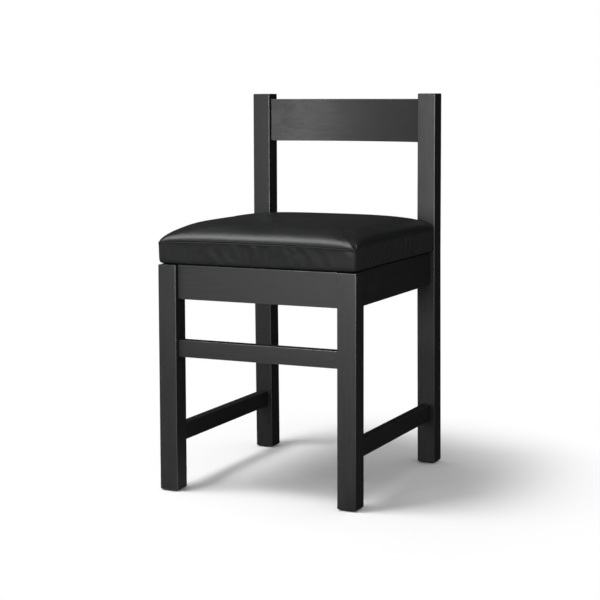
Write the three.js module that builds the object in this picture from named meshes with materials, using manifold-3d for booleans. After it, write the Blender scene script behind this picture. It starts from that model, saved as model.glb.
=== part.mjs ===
// Choir chair: a joined hardwood frame that carries a screwed-on leather box cushion.
// Millimetres, +Z up. Inside the chair's group x is 0 on the centre line, y is 0 on the front faces of the
// legs and grows to the back, and z is 0 at the leg ends.

import * as THREE from "three";
import { mergeVertices } from "three/addons/utils/BufferGeometryUtils.js";
import Module from "manifold-3d";

// Frame: outside sizes of the bare wood, and how far the rear feet stand behind the posts
const frameWidth = 410;
const frameDepth = 449;
const frameHeight = 760;
const seatFrameTop = 437;
const legSplay = 7;

// Square stock of the legs and posts
const stock = 38;
const stockArris = 1.6;
const footChamfer = 2;
const postTopChamfer = 1.2;
const legTopChamfer = 0.8;

// Rails: all of one thickness, centred in the stock
const railThickness = 19;
const railArris = 1.2;
const apronHeight = 66;
const stretcherHeight = 33;
const frontStretcherCentre = 276;
const sideStretcherCentre = 106;
const backRailHeight = 88;
const backRailDrop = 11;
const backRailRadius = 510;

// Mortise and tenon joints
const tenonThickness = 10;
const tenonShoulder = 7;

// Clearance between neighbours, and how far every cut runs past what it cuts
const gap = 0.3;
const overrun = 4;

// Corner blocks in the seat frame
const blockReach = 64;
const blockEnd = 6;
const blockHeight = 42;
const blockDrop = 3;

// Screws: two through each block into the rails, one up through each block into the board
const blockScrew = { radius: 2.1, headRadius: 4.2, headHeight: 2.6, taper: 6, length: 28 };
const seatScrew = { radius: 2.4, headRadius: 4.8, headHeight: 3, taper: 6 };
const blockScrewPlace = 38;
const blockScrewGrip = 13;
const seatScrewPlace = 22;
const seatScrewBite = 9;

// Nail-in glides
const glideRadius = 11;
const glideHeight = 2;
const glideChamfer = 0.7;
const glidePinRadius = 1.5;
const glidePinLength = 15;
const glidePinTaper = 4;

// Cushion: how far it overhangs the frame, its corners in plan, its skin and its box
const cushionSideOverhang = 1.5;
const cushionFrontOverhang = 2;
const cushionCorner = 6;
const postClearance = 0.5;
const leather = 1.2;
const boxingHeight = 45;
const beadHeight = 4;
const beadReach = 1.4;
const undercut = 9.5;
const crownHeight = 33;

// Seat board, the leather turned in under it, and the cloth that covers the turned edge
const boardThickness = 12;
const boardPostGap = 5;
const flangeWidth = 28;
const ventRadius = 10;
const clothThickness = 0.6;
const clothEdgeGap = 1.5;

// Shape of the cushion, as shares of the sizes above
const sideHeightShares = [0, 0.06, 0.15, 0.33, 0.62];
const sideInsetShares = [1, 0.55, 0.36, 0.25, 0.18];
const crownInsetShares = [0.005, 0.02, 0.05, 0.1, 0.18, 0.3, 0.48, 0.7];
const crownSideReachShare = 1;
const crownFrontReachShare = 0.35;
const crownBackReachShare = 0.43;
const crownSidePower = 3.5;
const crownDepthPower = 2.62;
const innerRoundShare = 0.3;
const edgeShares = [0.05, 0.15, 0.32, 0.5, 0.68, 0.85, 0.95];
const ventShares = [-0.45, 0.45];

// Shape of a screw, as shares of its head's radius and height and of its own radius
const headCrownShare = 0.62;
const headRimShare = 0.4;
const tipShare = 0.25;

// Smoothness: arcs per rounded corner, straights along the bowed rail, and sides of a turned piece
const cornerSteps = 1;
const bowSteps = 24;
const cushionCornerSteps = 3;
const turnedSides = 12;

// Sizes that follow from the ones above
const railSetBack = (stock - railThickness) / 2;
const tenonDepth = (stock + tenonThickness) / 2;
const rearPostFront = frameDepth - stock;
const legCentre = (frameWidth - stock) / 2;
const railSpan = frameWidth - 2 * stock;
const sideSpan = frameDepth - 2 * stock;
const frameInnerSide = frameWidth / 2 - railSetBack - railThickness;
const frameInnerFront = railSetBack + railThickness;
const frameInnerBack = frameDepth - railSetBack - railThickness;
const blockTop = seatFrameTop - blockDrop;
const blockBottom = blockTop - blockHeight;
const blockScrewHeight = (blockTop + blockBottom) / 2;
const blockFaceAt = blockReach + blockEnd;
const underside = seatFrameTop + gap;
const boardBottom = underside + leather + gap;
const boardTop = boardBottom + boardThickness;
const boardInset = undercut + leather + gap;
const seatScrewLength = boardBottom + seatScrewBite - blockBottom + gap;
const seamHeight = underside + boxingHeight;
const cushionHalfWidth = frameWidth / 2 + cushionSideOverhang;
const cushionFront = -cushionFrontOverhang;
const cushionBack = frameDepth - railSetBack;
const cushionDepth = cushionBack - cushionFront;
const cushionTop = seamHeight + crownHeight;

const apron = { bottom: seatFrameTop - apronHeight, height: apronHeight, mitred: true };
const backRail = { bottom: frameHeight - backRailDrop - backRailHeight, height: backRailHeight };
const frontStretcher = { bottom: frontStretcherCentre - stretcherHeight / 2, height: stretcherHeight };
const sideStretcher = { bottom: sideStretcherCentre - stretcherHeight / 2, height: stretcherHeight };

// The rear posts are upright above the seat and splay back below it
const splayAt = (z) => legSplay * Math.max(0, 1 - z / seatFrameTop);
const upright = () => 0;

const wasm = await Module();
wasm.setup();

// Finishes
const finish = (color, roughness, metalness = 0) => () =>
  new THREE.MeshStandardMaterial({ color, roughness, metalness });
const blackLacquer = finish(0x17181a, 0.42);
const blackLeather = finish(0x121314, 0.5);
const plywood = finish(0xb98f5c, 0.8);
const foamFill = finish(0xe3d9b4, 1);
const beech = finish(0xc79a66, 0.7);
const zincSteel = finish(0xa9adb0, 0.35, 1);
const blackNylon = finish(0x1b1b1b, 0.6);
const cambric = finish(0x1f1f20, 0.95);

// Solids and cuts
function toSolid(geometry) {
  const bare = geometry.clone();
  bare.deleteAttribute("normal");
  bare.deleteAttribute("uv");
  const merged = mergeVertices(bare);
  return new wasm.Manifold(
    new wasm.Mesh({
      numProp: 3,
      vertProperties: new Float32Array(merged.attributes.position.array),
      triVerts: new Uint32Array(merged.index.array),
    }),
  );
}

function toGeometry(solid) {
  const { vertProperties, triVerts } = solid.getMesh();
  const geometry = new THREE.BufferGeometry();
  geometry.setAttribute("position", new THREE.BufferAttribute(vertProperties, 3));
  geometry.setIndex(new THREE.BufferAttribute(triVerts, 1));
  geometry.computeVertexNormals();
  return geometry;
}

// A box between two corners
function boxSolid(low, high) {
  const size = new THREE.Vector3().subVectors(high, low);
  const middle = new THREE.Vector3().addVectors(low, high).multiplyScalar(0.5);
  return toSolid(new THREE.BoxGeometry(size.x, size.y, size.z).translate(middle.x, middle.y, middle.z));
}

// A round bar from one point to another
function barSolid(from, to, radius) {
  const along = new THREE.Vector3().subVectors(to, from);
  const bar = new THREE.CylinderGeometry(radius, radius, along.length(), turnedSides);
  const up = new THREE.Vector3(0, 1, 0);
  const turn = new THREE.Quaternion().setFromUnitVectors(up, along.clone().normalize());
  const middle = new THREE.Vector3().addVectors(from, to).multiplyScalar(0.5);
  return toSolid(bar.applyQuaternion(turn).translate(middle.x, middle.y, middle.z));
}

// An upright prism over a plan outline
function prismSolid(outline, bottom, top) {
  const depth = top - bottom;
  const prism = new THREE.ExtrudeGeometry(new THREE.Shape(outline), { depth, bevelEnabled: false });
  return toSolid(prism.translate(0, 0, bottom));
}

// A closed skin through rings of equal count, each anticlockwise seen from the end that the rings climb to
function loft(rings) {
  const count = rings[0].length;
  const last = (rings.length - 1) * count;
  const index = [];
  for (let start = 0; start < last; start += count) {
    for (let i = 0; i < count; i++) {
      const a = start + i;
      const b = start + ((i + 1) % count);
      index.push(a, b, b + count, a, b + count, a + count);
    }
  }
  for (let i = 1; i + 1 < count; i++) {
    index.push(0, i + 1, i, last, last + i, last + i + 1);
  }
  const geometry = new THREE.BufferGeometry();
  const places = rings.flat().flatMap((point) => point.toArray());
  geometry.setAttribute("position", new THREE.Float32BufferAttribute(places, 3));
  geometry.setIndex(index);
  geometry.computeVertexNormals();
  return geometry;
}

// A rectangle with rounded corners, centred on the origin
function roundedRectangle(width, height, radius) {
  const x = width / 2 - radius;
  const y = height / 2 - radius;
  const shape = new THREE.Shape();
  shape.absarc(x, -y, radius, -Math.PI / 2, 0);
  shape.absarc(x, y, radius, 0, Math.PI / 2);
  shape.absarc(-x, y, radius, Math.PI / 2, Math.PI);
  shape.absarc(-x, -y, radius, Math.PI, 1.5 * Math.PI);
  return shape.getPoints(cornerSteps);
}

// A named piece from its solid
function meshOf(name, solid, material, position = new THREE.Vector3()) {
  const mesh = new THREE.Mesh(toGeometry(solid), material());
  mesh.name = name;
  mesh.position.copy(position);
  return mesh;
}

// Legs and posts, each about its own centre line

// The mortise that takes a rail's tenon. The rail lies towards the unit vector `towards`, and the face that
// its shoulder meets stands back by `recess`.
function mortise(towards, rail, recess) {
  const mouth = stock / 2 + overrun;
  const end = stock / 2 - recess - tenonDepth;
  const across = tenonThickness / 2 + gap;
  const corner = (along, side, z) =>
    new THREE.Vector3(towards.x * along - towards.y * side, towards.y * along + towards.x * side, z);
  const a = corner(end, -across, rail.bottom + tenonShoulder - gap);
  const b = corner(mouth, across, rail.bottom + rail.height - tenonShoulder + gap);
  return boxSolid(a.clone().min(b), a.clone().max(b));
}

function squareLeg(levels, splay, joints) {
  const rings = levels.map(({ z, chamfer }) =>
    roundedRectangle(stock - 2 * chamfer, stock - 2 * chamfer, stockArris).map(
      (point) => new THREE.Vector3(point.x, point.y + splay(z), z),
    ),
  );
  let solid = toSolid(loft(rings));
  for (const { towards, rail } of joints) {
    const recess = towards.y && !rail.mitred ? splay(rail.bottom + rail.height / 2) : 0;
    solid = solid.subtract(mortise(towards, rail, recess));
  }
  const foot = new THREE.Vector3(0, splay(0), -overrun);
  const pinEnd = new THREE.Vector3(0, splay(0), glidePinLength + gap);
  return solid.subtract(barSolid(foot, pinEnd, glidePinRadius + gap));
}

function frontLeg(name, side) {
  const inward = new THREE.Vector2(-side, 0);
  const back = new THREE.Vector2(0, 1);
  const levels = [
    { z: 0, chamfer: footChamfer },
    { z: footChamfer, chamfer: 0 },
    { z: seatFrameTop - legTopChamfer, chamfer: 0 },
    { z: seatFrameTop, chamfer: legTopChamfer },
  ];
  const joints = [
    { towards: inward, rail: apron },
    { towards: back, rail: apron },
    { towards: inward, rail: frontStretcher },
    { towards: back, rail: sideStretcher },
  ];
  const place = new THREE.Vector3(side * legCentre, stock / 2, 0);
  return meshOf(name, squareLeg(levels, upright, joints), blackLacquer, place);
}

function rearPost(name, side) {
  const inward = new THREE.Vector2(-side, 0);
  const forward = new THREE.Vector2(0, -1);
  const levels = [
    { z: 0, chamfer: footChamfer },
    { z: footChamfer, chamfer: 0 },
    { z: seatFrameTop, chamfer: 0 },
    { z: frameHeight - postTopChamfer, chamfer: 0 },
    { z: frameHeight, chamfer: postTopChamfer },
  ];
  const joints = [
    { towards: inward, rail: apron },
    { towards: forward, rail: apron },
    { towards: forward, rail: sideStretcher },
    { towards: inward, rail: backRail },
  ];
  const place = new THREE.Vector3(side * legCentre, rearPostFront + stock / 2, 0);
  return meshOf(name, squareLeg(levels, splayAt, joints), blackLacquer, place);
}

// Rails. Each is made about its own start: x runs along it from the first shoulder, y is 0 in the middle of
// its thickness and z is 0 on its bottom edge. `recess` tells how far the far shoulder stands back at a
// height, and `outer` is the side, -1 or 1, on which a mitred tenon is longest.
function railSolid(length, rail, recess, outer) {
  const section = roundedRectangle(railThickness, rail.height, railArris);
  const middle = rail.height / 2;
  const ring = (shoulder) =>
    section.map(({ x, y }) => new THREE.Vector3(shoulder(rail.bottom + middle + y), x, middle + y));
  const body = toSolid(loft([ring(() => 0), ring((z) => length + recess(z))]));
  const farShift = rail.mitred ? 0 : recess(rail.bottom + middle);
  const near = tenonSolid(rail, outer, -1, 0);
  const far = tenonSolid(rail, outer, 1, length + farShift);
  return body.add(near).add(far);
}

// One tenon: from inside the rail out to the tip, cut at 45 degrees where two meet inside a leg
function tenonSolid(rail, outer, direction, shoulder) {
  const half = tenonThickness / 2;
  const root = shoulder - direction * overrun;
  const tip = (side) => {
    const short = rail.mitred && side !== outer ? tenonThickness : 0;
    return shoulder + direction * (tenonDepth - short);
  };
  const outline = [
    new THREE.Vector2(root, -half),
    new THREE.Vector2(tip(-1), -half),
    new THREE.Vector2(tip(1), half),
    new THREE.Vector2(root, half),
  ];
  return prismSolid(outline, tenonShoulder, rail.height - tenonShoulder);
}

// Pilot holes in an apron's inner face for the block screws that reach it, at distances from its first
// shoulder
function drillForBlocks(solid, rail, outer, places) {
  const z = blockScrewHeight - rail.bottom;
  const bite = blockScrew.length - blockScrewGrip;
  const mouth = -outer * (railThickness / 2 + overrun);
  const end = -outer * (railThickness / 2 - bite - gap);
  const radius = blockScrew.radius + gap;
  return places.reduce((drilled, x) => {
    const hole = barSolid(new THREE.Vector3(x, mouth, z), new THREE.Vector3(x, end, z), radius);
    return drilled.subtract(hole);
  }, solid);
}

// A rail across the chair, in the plane y
function crossRail(name, rail, y, outer = 0) {
  const length = railSpan - 2 * gap;
  const fromEnd = length / 2 - frameInnerSide + blockScrewPlace;
  const places = outer ? [fromEnd, length - fromEnd] : [];
  const solid = drillForBlocks(railSolid(length, rail, upright, outer), rail, outer, places);
  return meshOf(name, solid, blackLacquer, new THREE.Vector3(-length / 2, y, rail.bottom));
}

// How far behind the posts' centre line a point of the back rail lies: `x` from the middle of its length, and
// `across` from the middle of its thickness. The rail bows back round the sitter.
function bowAt(x, across) {
  const halfSpan = railSpan / 2;
  return Math.sqrt((backRailRadius + across) ** 2 - x ** 2) - Math.sqrt(backRailRadius ** 2 - halfSpan ** 2);
}

// The back rail, bowed in plan, with straight tenons
function bowedRail(name, rail, y) {
  const length = railSpan - 2 * gap;
  const section = roundedRectangle(railThickness, rail.height, railArris);
  const ring = (x) =>
    section.map((point) => new THREE.Vector3(x, bowAt(x - length / 2, point.x), rail.height / 2 + point.y));
  const rings = Array.from({ length: bowSteps + 1 }, (_, i) => ring((length * i) / bowSteps));
  const near = tenonSolid(rail, 0, -1, 0);
  const far = tenonSolid(rail, 0, 1, length);
  const solid = toSolid(loft(rings)).add(near).add(far);
  return meshOf(name, solid, blackLacquer, new THREE.Vector3(-length / 2, y, rail.bottom));
}

// A rail from front to back on one side of the chair
function sideRail(name, rail, side) {
  const length = sideSpan - 2 * gap;
  const start = stock + gap;
  const screwed = [frameInnerFront + blockScrewPlace - start, frameInnerBack - blockScrewPlace - start];
  const places = rail === apron ? screwed : [];
  const solid = drillForBlocks(railSolid(length, rail, splayAt, -side), rail, -side, places);
  const mesh = meshOf(name, solid, blackLacquer, new THREE.Vector3(side * legCentre, start, rail.bottom));
  mesh.rotation.z = Math.PI / 2;
  return mesh;
}

// Turned pieces, made along +Z
function turned(outline) {
  const profile = outline.map(([radius, z]) => new THREE.Vector2(radius, z));
  return toSolid(new THREE.LatheGeometry(profile, turnedSides).rotateX(Math.PI / 2));
}

// A pan-head screw: the head's seat is at z 0 and the point is at z = length
function screwSolid({ radius, headRadius, headHeight, taper }, length) {
  return turned([
    [0, -headHeight],
    [headRadius * headCrownShare, -headHeight],
    [headRadius, -headHeight * headRimShare],
    [headRadius, 0],
    [radius, 0],
    [radius, length - taper],
    [radius * tipShare, length],
    [0, length],
  ]);
}

function screwMesh(name, solid, place, direction) {
  const mesh = meshOf(name, solid, zincSteel, place);
  mesh.quaternion.setFromUnitVectors(new THREE.Vector3(0, 0, 1), direction);
  return mesh;
}

// Corners of the seat frame. `side` is -1 left and 1 right, `end` is -1 front and 1 back.
const corners = [
  { name: "front_left", side: -1, end: -1 },
  { name: "front_right", side: 1, end: -1 },
  { name: "rear_left", side: -1, end: 1 },
  { name: "rear_right", side: 1, end: 1 },
];

// A place in a corner, by its distances from the side apron's and the cross apron's inner faces
function inCorner({ side, end }, fromSide, fromEnd, z) {
  const y = end < 0 ? frameInnerFront + fromEnd : frameInnerBack - fromEnd;
  return new THREE.Vector3(side * (frameInnerSide - fromSide), y, z);
}

// A glued corner block: it follows both aprons, is notched round the leg and has a slanting inner face
function cornerBlock(corner) {
  const plan = [
    [railSetBack + gap, gap],
    [blockReach, gap],
    [blockReach, blockEnd],
    [blockEnd, blockReach],
    [gap, blockReach],
    [gap, railSetBack + gap],
    [railSetBack + gap, railSetBack + gap],
  ].map(([a, b]) => {
    const place = inCorner(corner, a, b, 0);
    return new THREE.Vector2(place.x, place.y);
  });
  let solid = prismSolid(plan, blockBottom, blockTop);
  for (const at of blockScrewLines(corner)) {
    solid = solid.subtract(barSolid(at(-overrun), at(blockFaceAt), blockScrew.radius + gap));
    solid = solid.subtract(barSolid(at(blockScrewGrip - gap), at(blockFaceAt), blockScrew.headRadius + gap));
  }
  const screwLow = inCorner(corner, seatScrewPlace, seatScrewPlace, blockBottom - overrun);
  const screwHigh = inCorner(corner, seatScrewPlace, seatScrewPlace, blockTop + overrun);
  return solid.subtract(barSolid(screwLow, screwHigh, seatScrew.radius + gap));
}

// The two lines of a corner's block screws, each by the distance from its apron's inner face
function blockScrewLines(corner) {
  return [
    (distance) => inCorner(corner, blockScrewPlace, distance, blockScrewHeight),
    (distance) => inCorner(corner, distance, blockScrewPlace, blockScrewHeight),
  ];
}

// The block screws of a corner, their heads in the counterbores
function blockScrews(corner) {
  const solid = screwSolid(blockScrew, blockScrew.length);
  return blockScrewLines(corner).map((at, i) => {
    const place = at(blockScrewGrip);
    const direction = at(0).sub(place).normalize();
    return screwMesh(`block_screw_${corner.name}_${i + 1}`, solid, place, direction);
  });
}

// The long screw that pulls the cushion down onto a corner
function seatScrewMesh(corner) {
  const solid = screwSolid(seatScrew, seatScrewLength);
  const place = inCorner(corner, seatScrewPlace, seatScrewPlace, blockBottom - gap);
  return screwMesh(`seat_screw_${corner.name}`, solid, place, new THREE.Vector3(0, 0, 1));
}

// A nail-in glide under a leg
function glide(corner) {
  const solid = turned([
    [0, -glideHeight],
    [glideRadius - glideChamfer, -glideHeight],
    [glideRadius, glideChamfer - glideHeight],
    [glideRadius, -gap],
    [glidePinRadius, -gap],
    [glidePinRadius, glidePinLength - glidePinTaper],
    [0, glidePinLength],
  ]);
  const y = corner.end < 0 ? stock / 2 : rearPostFront + stock / 2 + splayAt(0);
  return meshOf(`glide_${corner.name}`, solid, blackNylon, new THREE.Vector3(corner.side * legCentre, y, 0));
}

// Cushion

// The cushion's outline in plan, drawn in by a distance, with stations along its straight sides
function cushionOutline(inset) {
  const radius = cushionCorner + inset * innerRoundShare;
  const left = -cushionHalfWidth + inset;
  const right = cushionHalfWidth - inset;
  const front = cushionFront + inset;
  const back = cushionBack - inset;
  const arcs = [
    [right - radius, front + radius, -Math.PI / 2],
    [right - radius, back - radius, 0],
    [left + radius, back - radius, Math.PI / 2],
    [left + radius, front + radius, Math.PI],
  ];
  const arcPoints = ([x, y, from]) =>
    Array.from({ length: cushionCornerSteps + 1 }, (_, i) => {
      const angle = from + ((Math.PI / 2) * i) / cushionCornerSteps;
      return new THREE.Vector2(x + radius * Math.cos(angle), y + radius * Math.sin(angle));
    });
  return arcs.flatMap((arc, i) => {
    const corner = arcPoints(arc);
    const next = arcPoints(arcs[(i + 1) % arcs.length])[0];
    return [...corner, ...edgeShares.map((share) => corner.at(-1).clone().lerp(next, share))];
  });
}

// How full the crown is at a distance from an edge: 0 on the edge, 1 from `reach` inwards
function rise(distance, reach, power) {
  const left = Math.max(0, 1 - Math.max(0, distance) / reach);
  return Math.pow(1 - Math.pow(left, power), 1 / power);
}

// Height of the cushion's top over a place in plan, for a surface that lies `inside` the leather's outer face
function crownAt({ x, y }, inside) {
  const fromSide = cushionHalfWidth - inside - Math.abs(x);
  const fromFront = y - cushionFront - inside;
  const fromBack = cushionBack - inside - y;
  const full =
    rise(fromSide, cushionHalfWidth * crownSideReachShare, crownSidePower) *
    rise(fromFront, cushionDepth * crownFrontReachShare, crownDepthPower) *
    rise(fromBack, cushionDepth * crownBackReachShare, crownDepthPower);
  return seamHeight + (crownHeight - inside) * full;
}

// The whole cushion as one solid, its surface `inside` the leather's outer face: undercut foot, drawn-in
// sides, the seam's bead, and the crown
function cushionSolid(inside) {
  const bottom = underside + inside;
  const beadFoot = seamHeight - beadHeight;
  const sides = sideHeightShares.map((share, i) => ({
    z: bottom + (beadFoot - bottom) * share,
    inset: beadReach + (undercut - beadReach) * sideInsetShares[i],
  }));
  const bead = [
    { z: beadFoot, inset: beadReach },
    { z: seamHeight - beadHeight / 2, inset: 0 },
    { z: seamHeight, inset: beadReach / 2 },
  ];
  const level = ({ z, inset }) =>
    cushionOutline(inset + inside).map(({ x, y }) => new THREE.Vector3(x, y, z));
  const crown = crownInsetShares.map((share) => {
    const outline = cushionOutline(inside + beadReach / 2 + cushionHalfWidth * share);
    return outline.map((point) => new THREE.Vector3(point.x, point.y, crownAt(point, inside)));
  });
  return cutPostNotches(toSolid(loft([...sides.map(level), ...bead.map(level), ...crown])), inside);
}

// The two rear corners are notched out round the posts, `inside` further than the leather's outer face
function cutPostNotches(solid, inside) {
  const inner = frameWidth / 2 - stock - postClearance - inside;
  const front = rearPostFront - postClearance - inside;
  const outer = cushionHalfWidth + overrun;
  const low = seatFrameTop - overrun;
  const high = cushionTop + overrun;
  return [-1, 1].reduce((cut, side) => {
    const a = new THREE.Vector3(Math.min(side * inner, side * outer), front, low);
    const b = new THREE.Vector3(Math.max(side * inner, side * outer), frameDepth + overrun, high);
    return cut.subtract(boxSolid(a, b));
  }, solid);
}

// The board's outline, grown by a distance, as an upright solid
function boardPrism(grow, bottom, top) {
  return cutPostNotches(prismSolid(cushionOutline(boardInset - grow), bottom, top), boardPostGap - grow);
}

// Holes at the four seat screws
function cutSeatScrewHoles(solid, bottom, top) {
  return corners.reduce((cut, corner) => {
    const low = inCorner(corner, seatScrewPlace, seatScrewPlace, bottom);
    const high = inCorner(corner, seatScrewPlace, seatScrewPlace, top);
    return cut.subtract(barSolid(low, high, seatScrew.radius + gap));
  }, solid);
}

function seatBoard() {
  let board = boardPrism(0, boardBottom, boardTop);
  board = cutSeatScrewHoles(board, boardBottom - overrun, boardBottom + seatScrewBite + gap);
  for (const across of ventShares) {
    for (const along of ventShares) {
      const x = across * cushionHalfWidth;
      const y = (cushionFront + cushionBack) / 2 + (along * cushionDepth) / 2;
      const low = new THREE.Vector3(x, y, boardBottom - overrun);
      const high = new THREE.Vector3(x, y, boardTop + overrun);
      board = board.subtract(barSolid(low, high, ventRadius));
    }
  }
  return meshOf("seat_board", board, plywood);
}

function seatFoam() {
  const inside = leather + gap;
  const rebate = boardPrism(gap, underside - overrun, boardTop + gap);
  return meshOf("seat_foam", cushionSolid(inside).subtract(rebate), foamFill);
}

// The leather: a skin round foam and board, turned in under the board, in two pieces that meet at the seam
function leatherCover() {
  const opening = boardPrism(-flangeWidth, underside - overrun, boardTop);
  const whole = cushionSolid(0).subtract(cushionSolid(leather)).subtract(opening);
  const skin = cutSeatScrewHoles(whole, underside - overrun, boardBottom);
  const reach = cushionHalfWidth + overrun;
  const slice = (bottom, top) =>
    boxSolid(
      new THREE.Vector3(-reach, cushionFront - overrun, bottom),
      new THREE.Vector3(reach, frameDepth + overrun, top),
    );
  const above = slice(seamHeight + gap / 2, cushionTop + overrun);
  const below = slice(seatFrameTop - overrun, seamHeight - gap / 2);
  return [
    meshOf("cover_top_panel", skin.intersect(above), blackLeather),
    meshOf("cover_border", skin.intersect(below), blackLeather),
  ];
}

// The cloth under the board, inside the seat frame, with its corners folded clear of the legs
function dustCover() {
  const top = seatFrameTop;
  const x = frameInnerSide - clothEdgeGap;
  const front = frameInnerFront + clothEdgeGap;
  const back = frameInnerBack - clothEdgeGap;
  const fold = 2 * (railSetBack + gap - clothEdgeGap) + clothEdgeGap;
  const outline = [
    [-x + fold, front],
    [x - fold, front],
    [x, front + fold],
    [x, back - fold],
    [x - fold, back],
    [-x + fold, back],
    [-x, back - fold],
    [-x, front + fold],
  ].map(([a, b]) => new THREE.Vector2(a, b));
  const bottom = top - clothThickness;
  const cloth = cutSeatScrewHoles(prismSolid(outline, bottom, top), bottom - overrun, top + overrun);
  return meshOf("dust_cover", cloth, cambric);
}

// The chair
const frame = new THREE.Group();
frame.add(
  frontLeg("front_leg_left", -1),
  frontLeg("front_leg_right", 1),
  rearPost("rear_post_left", -1),
  rearPost("rear_post_right", 1),
  crossRail("front_apron", apron, stock / 2, -1),
  crossRail("rear_apron", apron, rearPostFront + stock / 2, 1),
  sideRail("side_apron_left", apron, -1),
  sideRail("side_apron_right", apron, 1),
  crossRail("front_stretcher", frontStretcher, stock / 2),
  sideRail("side_stretcher_left", sideStretcher, -1),
  sideRail("side_stretcher_right", sideStretcher, 1),
  bowedRail("back_rail", backRail, rearPostFront + stock / 2),
);

const hardware = new THREE.Group();
for (const corner of corners) {
  hardware.add(
    meshOf(`corner_block_${corner.name}`, cornerBlock(corner), beech),
    ...blockScrews(corner),
    seatScrewMesh(corner),
    glide(corner),
  );
}

const cushion = new THREE.Group();
cushion.add(seatBoard(), seatFoam(), ...leatherCover(), dustCover());

// The finished chair stands on its glides, with the origin under the middle of its plan
const rearmostFoot = frameDepth + splayAt(footChamfer);
const rearmostRail = rearPostFront + stock / 2 + bowAt(0, railThickness / 2);
const rearmost = Math.max(rearmostFoot, rearmostRail);
const chair = new THREE.Group();
chair.position.set(0, -(cushionFront + rearmost) / 2, glideHeight);
chair.add(frame, hardware, cushion);

export default chair;
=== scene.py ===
"""Choir chair: lacquered frame, leather box cushion and studio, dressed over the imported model."""

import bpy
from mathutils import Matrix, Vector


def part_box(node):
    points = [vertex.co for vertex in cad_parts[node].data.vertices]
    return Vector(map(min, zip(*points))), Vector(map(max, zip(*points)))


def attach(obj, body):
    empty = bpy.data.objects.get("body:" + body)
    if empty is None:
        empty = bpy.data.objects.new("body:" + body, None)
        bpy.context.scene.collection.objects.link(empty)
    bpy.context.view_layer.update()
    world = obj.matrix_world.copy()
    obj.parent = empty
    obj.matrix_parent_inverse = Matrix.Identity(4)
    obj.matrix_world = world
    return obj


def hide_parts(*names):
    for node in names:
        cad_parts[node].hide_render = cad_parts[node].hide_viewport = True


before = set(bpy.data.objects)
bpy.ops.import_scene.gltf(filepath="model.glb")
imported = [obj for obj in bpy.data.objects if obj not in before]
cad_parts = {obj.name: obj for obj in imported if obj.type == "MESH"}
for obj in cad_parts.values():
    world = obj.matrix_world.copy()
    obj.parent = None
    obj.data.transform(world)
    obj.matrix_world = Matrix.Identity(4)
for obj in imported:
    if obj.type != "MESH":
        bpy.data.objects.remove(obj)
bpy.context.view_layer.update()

import math

import bpy
import numpy as np
from bpy.props import FloatProperty, FloatVectorProperty, PointerProperty
from mathutils import Matrix, Vector

bl_info = {
    "name": "Choir chair",
    "version": (1, 0, 0),
    "blender": (4, 5, 0),
    "location": "3D View > Sidebar > Choir chair",
    "description": "Dresses a joined choir chair with lacquer, leather, cloth and fastenings, and lights it",
    "category": "Add Mesh",
}

border_low, border_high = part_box("cover_border")
panel_low, panel_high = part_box("cover_top_panel")
post_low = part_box("rear_post_right")[0]
board_low, board_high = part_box("seat_board")
cloth_low, cloth_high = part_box("dust_cover")
glide_low, glide_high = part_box("glide_front_right")


# Settings


def number(name, description, default, **more):
    return FloatProperty(name=name, description=description, default=default, **more)


def length(name, description, default):
    return number(name, description, default, subtype="DISTANCE", precision=5)


def share(name, description, default, high=1.0):
    return number(name, description, default, min=0.0, max=high, subtype="FACTOR")


def watts(name, description, default):
    return number(name, description, default, subtype="POWER")


def colour(name, description, default):
    kind = {"size": 3, "min": 0.0, "max": 1.0, "subtype": "COLOR"}
    return FloatVectorProperty(name=name, description=description, default=default, **kind)


class ChairLacquer(bpy.types.PropertyGroup):
    """Black satin lacquer on open-grained hardwood."""

    tone: colour("Lacquer", "Colour of the lacquer", (0.0075, 0.0075, 0.0081))
    rubbed: colour("Rubbed arris", "Colour where hands and shoes have rubbed an arris", (0.045, 0.042, 0.038))
    sheen: share("Roughness", "Roughness of the lacquered faces", 0.44)
    pore_width: length("Pore width", "Width of the wood's pores under the lacquer", 0.0007)
    pore_length: length("Pore length", "Length of the wood's pores", 0.011)
    pore_depth: length("Pore depth", "How far the lacquer sinks into the pores", 0.00003)
    streak: length("Streak width", "Width of the soft streaks along the grain", 0.0042)
    ripple: length("Ripple", "Width of the ripples that the spray leaves", 0.0032)
    edge_gloss: share("Edge gloss", "Extra gloss where the lacquer lies thick over an arris", 0.75)
    handled: share("Handled", "How much gloss hands have taken off the posts' upper arrises", 0.7)
    wear: share("Wear", "How much of the arrises is rubbed", 0.3)


class ChairLeather(bpy.types.PropertyGroup):
    """Smooth black upholstery leather."""

    tone: colour("Leather", "Colour of the leather", (0.0108, 0.0113, 0.0115))
    worn: colour("Sat-on leather", "Colour where the seat has been sat on", (0.019, 0.0192, 0.019))
    sheen: share("Roughness", "Roughness of the finish", 0.26)
    gloss: share("Gloss", "How much the finish mirrors", 0.14)
    # Partly painted light: the boxing's duller finish is real, and its colour, lighter than the panel's,
    # stands in for light on the cushion's sides
    boxing: colour("Boxing", "Colour of the boxing, which no sitting polishes", (0.0182, 0.0188, 0.0191))
    boxing_sheen: share("Boxing roughness", "Roughness of the boxing", 0.36)
    boxing_gloss: share("Boxing gloss", "How much the boxing's finish mirrors", 0.04)
    # Painted shade: near-black colour for the shaded gap where the leather turns in under the seat
    gap_shade: colour("Gap shade", "Colour of the leather where it turns in under the seat", (0.0015,) * 3)
    pebble: length("Pebble", "Size of the grain's pebbles", 0.0011)
    pebble_depth: length("Pebble depth", "Depth of the grain", 0.00005)
    crease: length("Crease spacing", "Distance between the fine creases", 0.011)


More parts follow.
